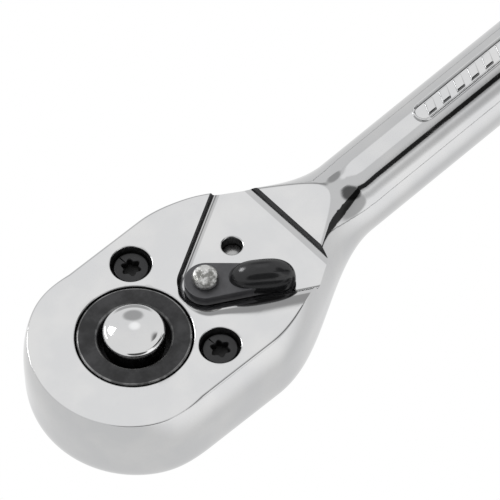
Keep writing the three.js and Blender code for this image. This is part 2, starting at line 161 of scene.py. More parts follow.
class Nodes:
    """A short way to add and link shader nodes."""

    def __init__(self, tree):
        self.tree = tree
        tree.nodes.clear()

    def add(self, kind, inputs=None, **settings):
        node = self.tree.nodes.new(kind)
        for key, value in settings.items():
            setattr(node, key, value)
        for key, value in (inputs or {}).items():
            if isinstance(value, bpy.types.NodeSocket):
                self.tree.links.new(value, node.inputs[key])
            else:
                node.inputs[key].default_value = value
        return node

    def math(self, operation, *values):
        return self.add("ShaderNodeMath", dict(enumerate(values)), operation=operation).outputs[0]

    def ramp(self, value, low, high, out_low=0.0, out_high=1.0):
        """Smoothly maps low..high to out_low..out_high."""
        return self.add(
            "ShaderNodeMapRange",
            {"Value": value, "From Min": low, "From Max": high, "To Min": out_low, "To Max": out_high},
            interpolation_type="SMOOTHSTEP",
        ).outputs["Result"]

    def noise(self, vector, scale, detail=2.0, roughness=0.5):
        return self.add(
            "ShaderNodeTexNoise",
            {"Vector": vector, "Scale": scale, "Detail": detail, "Roughness": roughness},
        ).outputs["Fac"]

    def mix(self, factor, first, second):
        """Blends two colours."""
        return self.add("ShaderNodeMix", {0: factor, 6: first, 7: second}, data_type="RGBA").outputs[2]

    def bump(self, height, strength, distance, normal=None):
        inputs = {"Height": height, "Strength": strength, "Distance": distance}
        if normal:
            inputs["Normal"] = normal
        return self.add("ShaderNodeBump", inputs).outputs["Normal"]


def new_material(name, base, metallic, roughness):
    """A principled material and the Nodes to detail it with."""
    material = bpy.data.materials.new(name)
    material.use_nodes = True
    nodes = Nodes(material.node_tree)
    shader = nodes.add("ShaderNodeBsdfPrincipled", {
        "Base Color": (*base, 1.0), "Metallic": metallic, "Roughness": roughness,
    })
    nodes.add("ShaderNodeOutputMaterial", {"Surface": shader.outputs[0]})
    place = nodes.add("ShaderNodeTexCoord").outputs["Object"]
    return material, nodes, shader, place


def stretched(nodes, place, scale, turn=(0.0, 0.0, 0.0)):
    """Texture coordinates turned, then scaled by a different amount each way."""
    mapping = nodes.add("ShaderNodeMapping", {"Vector": place, "Rotation": turn, "Scale": scale})
    return mapping.outputs[0]


def link(nodes, source, shader, socket):
    """Feeds one of the shader's inputs."""
    nodes.tree.links.new(source, shader.inputs[socket])


def scratches(nodes, place, turn, density=900.0):
    """Thin, long marks running one way."""
    scale = (density * 0.03, density, density)
    lines = nodes.noise(stretched(nodes, place, scale, turn), 1.0, 3.0, 0.7)
    return nodes.ramp(lines, 0.62, 0.70)


def chrome_material(name="chrome", shine=0.56):
    """Polished chrome over ground and polished steel: a slow waviness, haze and hairline marks."""
    material, nodes, shader, place = new_material(name, (shine, shine, shine), 1.0, 0.05)
    cloud = nodes.noise(place, 130.0, 3.0)
    fine = nodes.noise(place, 1500.0, 4.0, 0.6)
    one_way = scratches(nodes, place, (0, 0, 0.5))
    other_way = scratches(nodes, place, (0, 0, -0.9), 700.0)
    marks = nodes.math("MAXIMUM", one_way, other_way)
    haze = nodes.math("MULTIPLY_ADD", cloud, 0.04, 0.03)
    rough = nodes.math("ADD", haze, nodes.math("MULTIPLY", marks, 0.05))
    link(nodes, rough, shader, "Roughness")
    cool = (shine * 0.97, shine * 0.975, shine * 0.985, 1)
    bright = (shine * 1.03, shine * 1.03, shine * 1.03, 1)
    link(nodes, nodes.mix(nodes.ramp(cloud, 0.35, 0.7), cool, bright), shader, "Base Color")
    wave = nodes.bump(nodes.noise(place, 70.0, 1.0), 0.08, 0.0004)
    grain = nodes.bump(fine, 0.06, 0.00004, wave)
    link(nodes, nodes.bump(marks, 0.05, 0.00002, grain), shader, "Normal")
    return material


def painted_shade_steel_material():
    """Dark steel, painted shade on the pocket's steep walls and the walls of the holes, in place of
    chrome.
    """
    material, nodes, shader, place = new_material("shadowed_steel", (0.05, 0.05, 0.052), 0.8, 0.5)
    grain = nodes.noise(place, 900.0, 4.0, 0.65)
    link(nodes, nodes.ramp(grain, 0.3, 0.7, 0.38, 0.62), shader, "Roughness")
    link(nodes, nodes.mix(grain, (0.02, 0.02, 0.021, 1), (0.09, 0.09, 0.092, 1)), shader, "Base Color")
    link(nodes, nodes.bump(grain, 0.3, 0.00008), shader, "Normal")
    return material


def black_oxide_material():
    """Blackened steel of the gear: satin, with faint turning rings, and a painted highlight on the hub's
    chamfers.
    """
    material, nodes, shader, place = new_material("black_oxide", (0.03, 0.03, 0.031), 0.55, 0.36)
    split = nodes.add("ShaderNodeSeparateXYZ", {0: place})
    flat = nodes.add("ShaderNodeCombineXYZ", {0: split.outputs[0], 1: split.outputs[1]}).outputs[0]
    radius = nodes.add("ShaderNodeVectorMath", {0: flat}, operation="LENGTH").outputs["Value"]
    grain = nodes.noise(place, 1400.0, 4.0, 0.65)
    patches = nodes.noise(place, 260.0, 3.0, 0.6)

    def circle(edge):
        """1 on a circle round the hub, fading to 0 within a third of a millimetre."""
        away = nodes.math("ABSOLUTE", nodes.math("SUBTRACT", radius, edge * MM))
        return nodes.ramp(away, 0.00008, 0.0003, 1.0, 0.0)

    near_top = nodes.ramp(split.outputs[2], (TOP_FACE - 0.5) * MM, (TOP_FACE - 0.2) * MM)
    rim = nodes.math("MAXIMUM", circle(RING_RADIUS - 0.17), circle(WELL_RADIUS + 0.25))
    uneven = nodes.ramp(patches, 0.38, 0.62, 0.25, 1.0)
    # A painted highlight: lighter grey on the chamfer circles near the top, broken into patches.
    painted_rim_highlight = nodes.math("MULTIPLY", nodes.math("MULTIPLY", rim, near_top), uneven)
    rings = nodes.add("ShaderNodeTexWave", {
        "Vector": nodes.add("ShaderNodeCombineXYZ", {0: radius}).outputs[0],
        "Scale": 700.0, "Distortion": 2.0, "Detail": 2.0,
    }).outputs["Fac"]
    mottled = nodes.ramp(patches, 0.35, 0.7)
    base = nodes.mix(mottled, (0.022, 0.022, 0.023, 1), (0.046, 0.046, 0.048, 1))
    link(nodes, nodes.mix(painted_rim_highlight, base, (0.30, 0.30, 0.30, 1)), shader, "Base Color")
    satin = nodes.ramp(grain, 0.3, 0.7, 0.30, 0.42)
    link(nodes, nodes.math("ADD", satin, nodes.math("MULTIPLY", painted_rim_highlight, -0.08)), shader, "Roughness")
    turned_marks = nodes.bump(rings, 0.06, 0.00002)
    link(nodes, nodes.bump(grain, 0.12, 0.00003, turned_marks), shader, "Normal")
    return material


def black_coat_material(name, gloss, tone=1.0):
    """Black coating on the lever and the screws: a tone above 1 is greyer, and one below 1 darker, as in
    the painted shade of the screws' sockets.
    """
    mean, deep, pale = (
        (level * tone, level * tone, blue * tone)
        for level, blue in ((0.018, 0.019), (0.012, 0.013), (0.034, 0.036))
    )
    material, nodes, shader, place = new_material(name, mean, 0.35, gloss)
    grain = nodes.noise(place, 1300.0, 4.0, 0.6)
    patches = nodes.noise(place, 320.0, 3.0, 0.6)
    link(nodes, nodes.ramp(grain, 0.25, 0.75, gloss - 0.06, gloss + 0.08), shader, "Roughness")
    link(nodes, nodes.mix(patches, (*deep, 1), (*pale, 1)), shader, "Base Color")
    link(nodes, nodes.bump(grain, 0.10, 0.00003), shader, "Normal")
    return material


def peened_steel_material():
    """Bright steel end, mottled by the blows that spread it."""
    material, nodes, shader, place = new_material("peened_steel", (0.5, 0.5, 0.49), 1.0, 0.35)
    dents = nodes.noise(place, 900.0, 3.0, 0.6)
    stains = nodes.ramp(nodes.noise(place, 520.0, 4.0, 0.7), 0.42, 0.62)
    colour = nodes.mix(stains, (0.20, 0.20, 0.19, 1), (0.66, 0.66, 0.65, 1))
    link(nodes, colour, shader, "Base Color")
    link(nodes, nodes.ramp(dents, 0.3, 0.7, 0.25, 0.45), shader, "Roughness")
    link(nodes, nodes.bump(dents, 0.7, 0.0003), shader, "Normal")
    return material


def ground_steel_material():
    """Ground steel of the inner parts, pins and the ball."""
    material, nodes, shader, place = new_material("ground_steel", (0.45, 0.45, 0.45), 1.0, 0.3)
    lines = nodes.noise(stretched(nodes, place, (300.0, 300.0, 3000.0)), 1.0, 3.0, 0.6)
    patches = nodes.noise(place, 300.0, 2.0)
    link(nodes, nodes.ramp(lines, 0.3, 0.7, 0.24, 0.4), shader, "Roughness")
    link(nodes, nodes.mix(patches, (0.36, 0.36, 0.37, 1), (0.52, 0.52, 0.51, 1)), shader, "Base Color")
    link(nodes, nodes.bump(lines, 0.1, 0.00003), shader, "Normal")
    return material


def rubber_material():
    """Matt black rubber of the three seals."""
    material, nodes, shader, place = new_material("seal_rubber", (0.012, 0.012, 0.012), 0.0, 0.6)
    grain = nodes.noise(place, 1800.0, 3.0)
    link(nodes, nodes.ramp(grain, 0.3, 0.7, 0.5, 0.75), shader, "Roughness")
    link(nodes, nodes.mix(grain, (0.009, 0.009, 0.009, 1), (0.02, 0.02, 0.02, 1)), shader, "Base Color")
    link(nodes, nodes.bump(grain, 0.15, 0.00004), shader, "Normal")
    return material


# ---- Mesh helpers -------------------------------------------------------------------------------

def add_mesh(name, points, faces, material=None):
    """A mesh object from points in millimetres, with its faces turned outwards."""
    mesh = bpy.data.meshes.new(name)
    mesh.from_pydata([(x * MM, y * MM, z * MM) for x, y, z in points], [], faces)
    mesh.validate()
    if material:
        mesh.materials.append(material)
    obj = bpy.data.objects.new(name, mesh)
    bpy.context.scene.collection.objects.link(obj)
    turn_outwards(obj)
    return obj


def turn_outwards(obj):
    """Joins doubled corners and turns every face outwards."""
    work = bmesh.new()
    work.from_mesh(obj.data)
    bmesh.ops.remove_doubles(work, verts=work.verts, dist=1e-7)
    bmesh.ops.recalc_face_normals(work, faces=work.faces)
    if work.calc_volume(signed=True) < 0:
        bmesh.ops.reverse_faces(work, faces=work.faces)
    work.to_mesh(obj.data)
    work.free()


def bake_modifiers(obj):
    """Makes the mesh what its modifiers show, and drops them."""
    depsgraph = bpy.context.evaluated_depsgraph_get()
    mesh = bpy.data.meshes.new_from_object(obj.evaluated_get(depsgraph))
    obj.modifiers.clear()
    obj.data = mesh


def carve(obj, tools, operation="DIFFERENCE"):
    """Cuts the tools out of obj, or joins them to it. Cut faces take the tool's material."""
    for tool in tools:
        modifier = obj.modifiers.new("carve", "BOOLEAN")
        modifier.operation = operation
        modifier.solver = "EXACT"
        modifier.material_mode = "TRANSFER"
        modifier.object = tool
    bake_modifiers(obj)
    for tool in tools:
        bpy.data.objects.remove(tool)


def soften(obj, width, angle):
    """Rounds the edges sharper than an angle."""
    modifier = obj.modifiers.new("soften", "BEVEL")
    modifier.width = width * MM
    modifier.segments = 2
    modifier.limit_method = "ANGLE"
    modifier.angle_limit = math.radians(angle)
    bake_modifiers(obj)


def smooth(obj, angle=30.0):
    """Smooth shading, with creases where faces meet at more than the angle."""
    mesh = obj.data
    mesh.polygons.foreach_set("use_smooth", [True] * len(mesh.polygons))
    mesh.set_sharp_from_angle(angle=math.radians(angle))
    weighted = obj.modifiers.new("even_normals", "WEIGHTED_NORMAL")
    weighted.keep_sharp = True
    bake_modifiers(obj)


def finish_piece(obj, body, slot, *nodes, angle=30.0):
    """Shades a piece, hangs it on its body and puts it in the place of its CAD nodes."""
    smooth(obj, angle)
    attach(obj, body)
    if nodes:
        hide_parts(*nodes)
    return obj


def ring_faces(rows, count, closed_rows=False):
    """Quads between rows of points that each close on themselves."""
    faces = []
    last = rows if closed_rows else rows - 1
    for row in range(last):
        below = row * count
        above = ((row + 1) % rows) * count
        for i in range(count):
            j = (i + 1) % count
            faces.append((below + i, below + j, above + j, above + i))
    return faces


def stack(name, outlines, material=None):
    """A closed body from outlines [(x, y), ...] at rising heights: [(height, outline), ...]."""
    count = len(outlines[0][1])
    points = [(x, y, height) for height, outline in outlines for x, y in outline]
    faces = ring_faces(len(outlines), count)
    last = (len(outlines) - 1) * count
    faces.append(tuple(reversed(range(count))))
    faces.append(tuple(range(last, last + count)))
    return add_mesh(name, points, faces, material)


def prism(name, outline, bottom, top, material=None):
    """An upright body with the same outline all the way up."""
    return stack(name, [(bottom, outline), (top, outline)], material)


def turned(name, profile, material=None, segments=96, x=0.0, y=0.0):
    """A body turned about a vertical axis, from (radius, height) pairs.

    The pairs start and end on the axis, or on each other for a ring.
    """
    is_ring = profile[0] == profile[-1]
    inner = profile[:-1] if is_ring else profile[1:-1]
    points = []
    for radius, height in inner:
        for i in range(segments):
            angle = 2 * math.pi * i / segments
            points.append((x + radius * math.cos(angle), y + radius * math.sin(angle), height))
    faces = ring_faces(len(inner), segments, closed_rows=is_ring)
    if is_ring:
        return add_mesh(name, points, faces, material)
    low, high = len(points), len(points) + 1
    points += [(x, y, profile[0][1]), (x, y, profile[-1][1])]
    last = (len(inner) - 1) * segments
    for i in range(segments):
        j = (i + 1) % segments
        faces.append((low, j, i))
        faces.append((high, last + i, last + j))
    return add_mesh(name, points, faces, material)


def quarter_turn(steps):
    """Angles from 0 to 90 degrees in equal steps."""
    return [i / steps * math.pi / 2 for i in range(steps + 1)]


def arc(centre_radius, centre_height, radius, start, end, steps=6):
    """Points of a round corner in a turned profile; angles in degrees, 0 outwards and 90 up."""
    angles = [math.radians(start + (end - start) * i / steps) for i in range(steps + 1)]
    return [
        (centre_radius + radius * math.cos(angle), centre_height + radius * math.sin(angle))
        for angle in angles
    ]


def belt(discs, grow=0.0, steps=96):
    """The outline that a belt takes round a few discs (x, y, radius)."""
    points = sorted(
        (round(x + (radius + grow) * math.cos(2 * math.pi * i / steps), 6),
         round(y + (radius + grow) * math.sin(2 * math.pi * i / steps), 6))
        for x, y, radius in discs for i in range(steps)
    )

    def turn(o, p, q):
        return (p[0] - o[0]) * (q[1] - o[1]) - (p[1] - o[1]) * (q[0] - o[0])

    def half(ordered):
        hull = []
        for point in ordered:
            while len(hull) > 1 and turn(hull[-2], hull[-1], point) <= 1e-7:
                hull.pop()
            hull.append(point)
        return hull[:-1]

    return half(points) + half(points[::-1])


def both_sides(discs):
    """The discs, each with its mirror image across the X axis."""
    return [(x, side * y, radius) for x, y, radius in discs for side in (1, -1)]


def rounded_square(half, corner):
    """The outline of a square with round corners, centred on the origin."""
    per_corner = 8
    reach = (half - corner) * math.sqrt(2)
    outline = []
    for quarter in range(4):
        middle = (quarter + 0.5) * math.pi / 2
        for i in range(per_corner + 1):
            angle = (quarter + i / per_corner) * math.pi / 2
            outline.append((reach * math.cos(middle) + corner * math.cos(angle),
                            reach * math.sin(middle) + corner * math.sin(angle)))
    return outline


def cylinder(name, radius, bottom, top, x=0.0, y=0.0, material=None, segments=64):
    """An upright cylinder."""
    profile = [(0, bottom), (radius, bottom), (radius, top), (0, top)]
    return turned(name, profile, material, segments, x, y)


def lerp(low, high, t):
    """The value a share t of the way from low to high."""
    return low + (high - low) * t


def ease(value, start, end):
    """Smooth step from 0 at start to 1 at end."""
    t = min(1.0, max(0.0, (value - start) / (end - start)))
    return t * t * (3 - 2 * t)


# ---- Forging: head, neck and handle in one piece ------------------------------------------------

def handle_axis(x):
    """Height of the handle's axis, which rises a little away from the head."""
    return HANDLE_AXIS_HEIGHT + HANDLE_SLOPE * (x - NECK_END)


def handle_radius_at(x):
    """The handle's radius: it swells to the grip, then rounds off at the butt."""
    radius = lerp(HANDLE_RADIUS, GRIP_RADIUS, ease(x, GRIP_START, GRIP_FULL))
    past = max(0.0, x - (HANDLE_END - BUTT_ROUNDING))
    return radius - BUTT_ROUNDING + math.sqrt(max(0.0, BUTT_ROUNDING ** 2 - past ** 2))


def head_reach(angle):
    """Plan distance from the front centre to the head's side, at an angle from +X."""
    sharpness = 24
    side = HEAD_HALF_WIDTH / max(abs(math.sin(angle)), 1e-9)
    return (HEAD_FRONT_RADIUS ** -sharpness + side ** -sharpness) ** (-1 / sharpness)


def section_at(x, frontness):
    """The superellipse halves of the section: width, middle height, and rise and exponent each way.

    The head would rise to its crown if its top weren't cut flat. Frontness is 1 at the very front.
    """
    to_handle = ease(x, NECK_START, NECK_END)
    radius = handle_radius_at(x)
    crown = lerp(SIDE_CROWN, FRONT_CROWN, frontness)
    return {
        "width": lerp(head_reach(math.pi / 2), radius, to_handle),
        "middle": lerp(HEAD_MIDDLE, handle_axis(x), to_handle),
        "above": lerp(crown, radius, ease(x, 30, NECK_END)),
        "above_exponent": lerp(2.5, 2, ease(x, 28, 40)),
        "below": lerp(HEAD_BELOW, radius, ease(x, 25, NECK_END)),
        "below_exponent": lerp(5, 2, to_handle),
    }


def soft_limit(height, limit, softness, side):
    """Holds a height below (side 1) or above (side -1) a limit, with a small rounding."""
    over = side * (height - limit) / softness
    return limit - side * softness * np.logaddexp(0.0, -over)


def ceiling_at(x):
    """Height that the section is cut off at: the head's top face, then the flat along the handle.

    Past either end of the handle's flat, the cut rises clear of the round handle.
    """
    before_flat = 1 - ease(x, FLAT_START - 6, FLAT_START + 2)
    past_flat = ease(x, FLAT_END - 6, FLAT_END)
    ceiling = handle_axis(x) + FLAT_HEIGHT + 6.0 * before_flat + 4.0 * past_flat
    return min(ceiling, TOP_FACE) if x < NECK_END else ceiling


def half_section(section, x):
    """One side of the section from ridge to keel, cut flat: (distance out, height) pairs."""
    ceiling = ceiling_at(x)
    ratio = min(1.0, max(-1.0, (ceiling - section["middle"]) / section["above"]))
    # The points crowd together round the edge of the flat.
    edge = max(0.15, math.acos(ratio ** (section["above_exponent"] / 2)))
    wide, close = min(0.25, edge / 2), min(0.035, edge / 6)
    angles = np.concatenate([
        np.linspace(0, edge - wide, 6, endpoint=False),
        np.linspace(edge - wide, edge - close, 6, endpoint=False),
        np.linspace(edge - close, edge + close, 20, endpoint=False),
        np.linspace(edge + close, edge + wide, 8, endpoint=False),
        np.linspace(edge + wide, math.pi / 2, 12, endpoint=False),
        np.linspace(math.pi / 2, math.pi, 48),
    ])
    upper = angles <= math.pi / 2
    exponent = np.where(upper, section["above_exponent"], section["below_exponent"])
    rise = np.where(upper, section["above"], -section["below"])
    out = section["width"] * np.maximum(0, np.sin(angles)) ** (2 / exponent)
    height = section["middle"] + rise * np.abs(np.cos(angles)) ** (2 / exponent)
    out[0] = out[-1] = 0
    height = soft_limit(height, ceiling, lerp(0.14, 0.03, ease(x, 40, NECK_END)), 1)
    if x < NECK_END:
        height = soft_limit(height, HEAD_BOTTOM, 0.05, -1)
    return list(zip(out, height))


def forging(material):
    """The solid forging: sections fanned round the head's front, then along to the butt."""
    fan_steps, head_steps, neck_steps, shank_steps, grip_steps, butt_steps = 84, 11, 96, 60, 24, 12
    rows = []
    for i in range(fan_steps + 1):
        angle = math.pi - i / fan_steps * math.pi / 2
        section = section_at(HEAD_FRONT_CENTRE, abs(math.cos(angle)))
        section["width"] = head_reach(angle)
        rows.append([(HEAD_FRONT_CENTRE + out * math.cos(angle), out * math.sin(angle), height)
                     for out, height in half_section(section, HEAD_FRONT_CENTRE)])

    butt_start = HANDLE_END - BUTT_ROUNDING
    stations = []
    for start, end, steps in (
        (HEAD_FRONT_CENTRE, NECK_START, head_steps), (NECK_START, NECK_END, neck_steps),
        (NECK_END, GRIP_START, shank_steps), (GRIP_START, butt_start, grip_steps),
    ):
        stations += list(np.linspace(start, end, steps + 1)[1:])
    stations += [butt_start + BUTT_ROUNDING * math.sin(angle) for angle in quarter_turn(butt_steps)[1:]]
    for x in stations:
        rows.append([(x, out, height) for out, height in half_section(section_at(x, 0.0), x)])

    count = len(rows[0])
    points = [point for row in rows for point in row]
    total = len(points)
    points += [(x, -y, z) for x, y, z in points]
    faces = []
    for row in range(len(rows) - 1):
        for i in range(count - 1):
            corner = row * count + i
            quad = (corner, corner + 1, corner + count + 1, corner + count)
            faces += [quad, tuple(total + index for index in reversed(quad))]
    end = (len(rows) - 1) * count
    other_half = [total + index for index in range(end + count - 2, end, -1)]
    faces.append((*range(end, end + count), *other_half))
    return add_mesh("handle_body_fine", points, faces, material)


def pocket_outline(inset, rise):
    """The lever pocket's outline, drawn in for the floor's fillet or let out by a share of its lip.

    The +Y wall and the end wall are crisp. The lip is narrow beside the bore, and grows broad and
    soft along the -Y wall.
    """
    crisp, beside_bore, turning, broad = 0.12, 1.0, 3.2, 5.6
    first = math.pi / 2 + POCKET_WALL_ANGLE
    last = 1.5 * math.pi - POCKET_WALL_ANGLE
    end_x = POCKET_END_X - inset + rise * crisp
    steps = 48
    outline = []
    for i in range(steps + 1):
        angle = lerp(first, last, i / steps)
        lip = crisp + (beside_bore - crisp) * ease(angle, lerp(first, last, 0.25), math.pi)
        lip += (turning - beside_bore) * ease(angle, math.pi, last)
        radius = POCKET_APEX - inset + rise * lip
        outline.append((PIVOT_X + radius * math.cos(angle), radius * math.sin(angle)))

    def wall(x, lip):
        radius = POCKET_APEX - inset + rise * lip
        return radius / math.cos(POCKET_WALL_ANGLE) + (x - PIVOT_X) * math.tan(POCKET_WALL_ANGLE)

    start_x = outline[-1][0]
    for i in range(1, steps + 1):
        x = lerp(start_x, end_x, i / steps)
        outline.append((x, -wall(x, lerp(turning, broad, ease(x, start_x, start_x + 8)))))
    return [(end_x, wall(end_x, crisp))] + outline


def pocket_tool(material):
    """What is cut away for the lever's pocket: a filleted floor, upright walls and a rounded lip."""
    fillet, fillet_height, lip_height = 1.3, 0.7, 1.5
    lip_start = TOP_FACE - lip_height
    levels = []
    for angle in quarter_turn(8)[:-1]:
        height = POCKET_FLOOR + fillet_height * (1 - math.cos(angle))
        levels.append((height, pocket_outline(fillet * (1 - math.sin(angle)), 0)))
    for angle in quarter_turn(16):
        height = lip_start + lip_height * math.sin(angle)
        levels.append((height, pocket_outline(0, 1 - math.cos(angle))))
    levels.append((TOP_FACE + 12, pocket_outline(0, 1)))
    return stack("pocket_tool", levels, material)


def darken_pocket_walls(body, dark):
    """Paints shade on the pocket's steep +Y wall and end wall, by giving their faces the dark steel."""
    index = body.data.materials.find(dark.name)
    if index < 0:
        body.data.materials.append(dark)
        index = len(body.data.materials) - 1
    for face in body.data.polygons:
        x, y, z = face.center / MM
        steep = abs(face.normal.z) < 0.45 and POCKET_FLOOR + 0.2 < z < TOP_FACE + 0.1
        side_wall = y > 0 and face.normal.y < -0.5 and x > PIVOT_X - POCKET_APEX
        end_wall = face.normal.x < -0.7 and abs(x - POCKET_END_X) < 0.4
        if steep and (side_wall or end_wall):
            face.material_index = index


def carve_hole(body, radius, bottom, top, x, y, wall, rim, width):
    """A round hole with walls in the dark steel, as painted shade, and a bright rounded mouth."""
    carve(body, [cylinder("hole", radius, bottom, top + 1, x, y, wall, 96)])
    mouth = [
        (radius + width * (1 - math.cos(angle)), top - width * (1 - math.sin(angle)))
        for angle in quarter_turn(6)
    ]
    profile = [(0, top - width), *mouth, (radius + width, top + 1), (0, top + 1)]
    carve(body, [turned("mouth", profile, rim, 96, x, y)])


# Discs (x, y, radius) that a belt takes in, with their mirror images: the pawls' room, the cover
CAVITY_DISCS = [(12.9, 7.4, 2.1), (20, 9.5, 2.5), (PIN_X, 4.3, 3.9)]
COVER_DISCS = [(0, 0, 16.4), (SCREW_X, SCREW_Y, 3.4), (20, 9.5, 3.9), (PIN_X, PIN_Y, 5.2)]


def badge(material):
    """A plain raised border with slanting bars, on the flat along the top of the handle."""
    start, end, half_width, border = 74.0, 112.0, 2.3, 0.5
    base, height, bevel = -0.6, 0.55, 0.2
    bar_count, bar_pitch, bar_half_width, lean, bar_reach = 9, 3.8, 1.05, 0.55, 1.25

    def pill(inset):
        radius = half_width - inset
        return belt([(start + 2, 0, radius), (end - 2, 0, radius)], steps=48)

    def raised(name, outline):
        return stack(name, [
            (base, outline(0)), (height - bevel, outline(0)),
            (height - 0.4 * bevel, outline(0.3 * bevel)), (height, outline(bevel)),
        ], material)

    border_ring = raised("badge", pill)
    inner = [
        (base - 0.4, pill(border)), (height - bevel, pill(border)),
        (height + bevel, pill(border - 2 * bevel)),
    ]
    carve(border_ring, [stack("badge_hole", inner, material)])
    pieces = [border_ring]
    for i in range(bar_count):
        x = start + 3.7 + i * bar_pitch

        def bar(inset):
            half = bar_half_width - inset
            reach = bar_reach - inset
            return [
                (x - lean - half, -reach), (x - lean + half, -reach),
                (x + lean + half, reach), (x + lean - half, reach),
            ]

        pieces.append(raised(f"badge_bar_{i}", bar))
    tilt = Matrix.Rotation(-math.atan(HANDLE_SLOPE), 4, "Y")
    lift = Matrix.Translation((0, 0, (handle_axis(0) + FLAT_HEIGHT) * MM))
    for piece in pieces:
        piece.data.transform(lift @ tilt)
    return pieces


def build_handle_body(chrome, dark):
    """The forging with its badge and pocket, and every hole that it takes."""
    body = forging(chrome)
    carve(body, badge(chrome), "UNION")
    carve(body, [pocket_tool(chrome)])
    darken_pocket_walls(body, dark)
    # The walls of the bore, the screw recesses and the pin holes take the dark steel: painted shade.
    carve_hole(body, BORE_RADIUS, CEILING - 1, TOP_FACE, 0, 0, dark, chrome, 0.25)
    for side in (1, -1):
        recess_radius = SCREW_HEAD_RADIUS + 0.66
        recess_bottom = SCREW_HEAD_BOTTOM - GAP
        y = side * SCREW_Y
        carve_hole(body, recess_radius, recess_bottom, TOP_FACE, SCREW_X, y, dark, chrome, 0.2)
        screw_hole = cylinder(
            "screw_hole", SCREW_SHANK + GAP, COVER_TOP - 1, SCREW_HEAD_BOTTOM, SCREW_X, y, dark,
        )
        carve(body, [screw_hole])
        y = side * PIN_Y
        carve_hole(body, PIN_RADIUS + 0.1, CEILING - 1, POCKET_FLOOR, PIN_X, y, dark, chrome, 0.35)
    # The rooms cut below also take the dark steel on their walls: painted shade.
    shaft_hole = (SHAFT_RADIUS + GAP, CEILING - 1, POCKET_FLOOR + 1)
    gear_room = (TOOTH_TIP + 0.4, COVER_TOP - 1, CEILING)
    detent_hole = (1.3, CEILING - 1, 31.9)
    pawl_room = belt(both_sides(CAVITY_DISCS))
    cover_seat = belt(both_sides(COVER_DISCS), GAP)
    carve(body, [cylinder("shaft_hole", *shaft_hole, PIVOT_X, 0, dark)])
    carve(body, [cylinder("gear_room", *gear_room, 0, 0, dark, 96)])
    carve(body, [prism("pawl_room", pawl_room, COVER_TOP - 1, CEILING, dark)])
    carve(body, [prism("cover_seat", cover_seat, HEAD_BOTTOM - 1, COVER_TOP + GAP, dark)])
    carve(body, [cylinder("detent_hole", *detent_hole, PIVOT_X + DETENT_DISTANCE, 0, dark)])
    return finish_piece(body, "housing", "chrome", "handle_body", angle=28.0)


# ---- Other pieces --------------------------------------------------------------------------------

def build_cover_plate(material):
    """The plate under the head, with the gear's hole, the screws' threads and the pins' seats."""
    low, high = HEAD_BOTTOM - 1, COVER_TOP + 1
    plate = prism("cover_plate_fine", belt(both_sides(COVER_DISCS)), HEAD_BOTTOM, COVER_TOP, material)
    carve(plate, [cylinder("hub_hole", LOWER_HUB_RADIUS + GAP, low, high, 0, 0, material, 96)])
    for side in (1, -1):
        thread = (SCREW_SHANK + GAP, low, high, SCREW_X, side * SCREW_Y)
        pin_seat = (PIN_RADIUS + GAP, HEAD_BOTTOM + 0.7, high, PIN_X, side * PIN_Y)
        carve(plate, [
            cylinder("thread", *thread, material),
            cylinder("pin_seat", *pin_seat, material),
        ])
    soften(plate, 0.2, 50.0)
    return finish_piece(plate, "housing", "black_steel", "cover_plate")


def gear_outline():
    """Flat-topped teeth, one of them pointing along +X."""
    corners = ((-0.1, TOOTH_TIP), (0.1, TOOTH_TIP), (0.44, TOOTH_ROOT), (0.56, TOOTH_ROOT))
    outline = []
    for tooth in range(TOOTH_COUNT):
        for turn, radius in corners:
            angle = (tooth + turn) / TOOTH_COUNT * 2 * math.pi
            outline.append((radius * math.cos(angle), radius * math.sin(angle)))
    return outline


def build_drive_gear(material):
    """The toothed gear with its hub and well above, and the drive square below."""
    low, high = cad("drive_gear", 0, 2), TOP_FACE
    teeth_bottom, teeth_top = 20.6, 28.1
    seal_groove, upper_groove, rod_radius = LOWER_HUB_RADIUS - 0.85, 9.95, 2.85
    hub = turned("drive_gear_fine", [
        (0, SQUARE_TOP), (8.7, SQUARE_TOP), (LOWER_HUB_RADIUS, 16.3),
        (LOWER_HUB_RADIUS, 17.3), (seal_groove, 17.3), (seal_groove, 18.7), (LOWER_HUB_RADIUS, 18.7),
        (LOWER_HUB_RADIUS, 24), (HUB_RADIUS, 24), (HUB_RADIUS, 31),
        (upper_groove, 31), (upper_groove, 32.4), (RING_RADIUS, 32.4),
        (RING_RADIUS, high - 0.35), (RING_RADIUS - 0.06, high - 0.22),
        (RING_RADIUS - 0.22, high - 0.06), (RING_RADIUS - 0.35, high),
        (WELL_RADIUS + 0.5, high), (WELL_RADIUS + 0.42, high - 0.05),
        (WELL_RADIUS + 0.06, high - 0.42), (WELL_RADIUS, high - 0.5),
        (WELL_RADIUS, WELL_FLOOR), (0, WELL_FLOOR),
    ], material, 128)
    square = stack("square", [
        (low, rounded_square(SQUARE_HALF - 0.75, 0.6)),
        (low + 0.12, rounded_square(SQUARE_HALF - 0.5, 0.75)),
        (low + 0.7, rounded_square(SQUARE_HALF, 0.9)),
        (SQUARE_TOP + 1, rounded_square(SQUARE_HALF, 0.9)),
    ], material)
    carve(hub, [prism("teeth", gear_outline(), teeth_bottom, teeth_top, material)], "UNION")
    carve(hub, [square], "UNION")
    carve(hub, [cylinder("rod_bore", rod_radius, 2.5, WELL_FLOOR + 1, 0, 0, material)])
    carve(hub, [cylinder("well", WELL_RADIUS, WELL_FLOOR, WELL_FLOOR + 4, 0, 0, material, 128)])
    # The ball's hole, narrower at its mouth, runs out along -X.
    ball_height = 7.9
    lip = SQUARE_HALF - 0.3
    swing = Matrix.Translation((0, 0, ball_height * MM)) @ Matrix.Rotation(-math.pi / 2, 4, "Y")
    for radius, start, end in ((2.5, 1.8, lip), (2.07, lip - 1, SQUARE_HALF + 4)):
        hole = cylinder("ball_hole", radius, start, end, 0, 0, material)
        hole.data.transform(swing)
        carve(hub, [hole])
    return finish_piece(hub, "drive", "black_steel", "drive_gear")


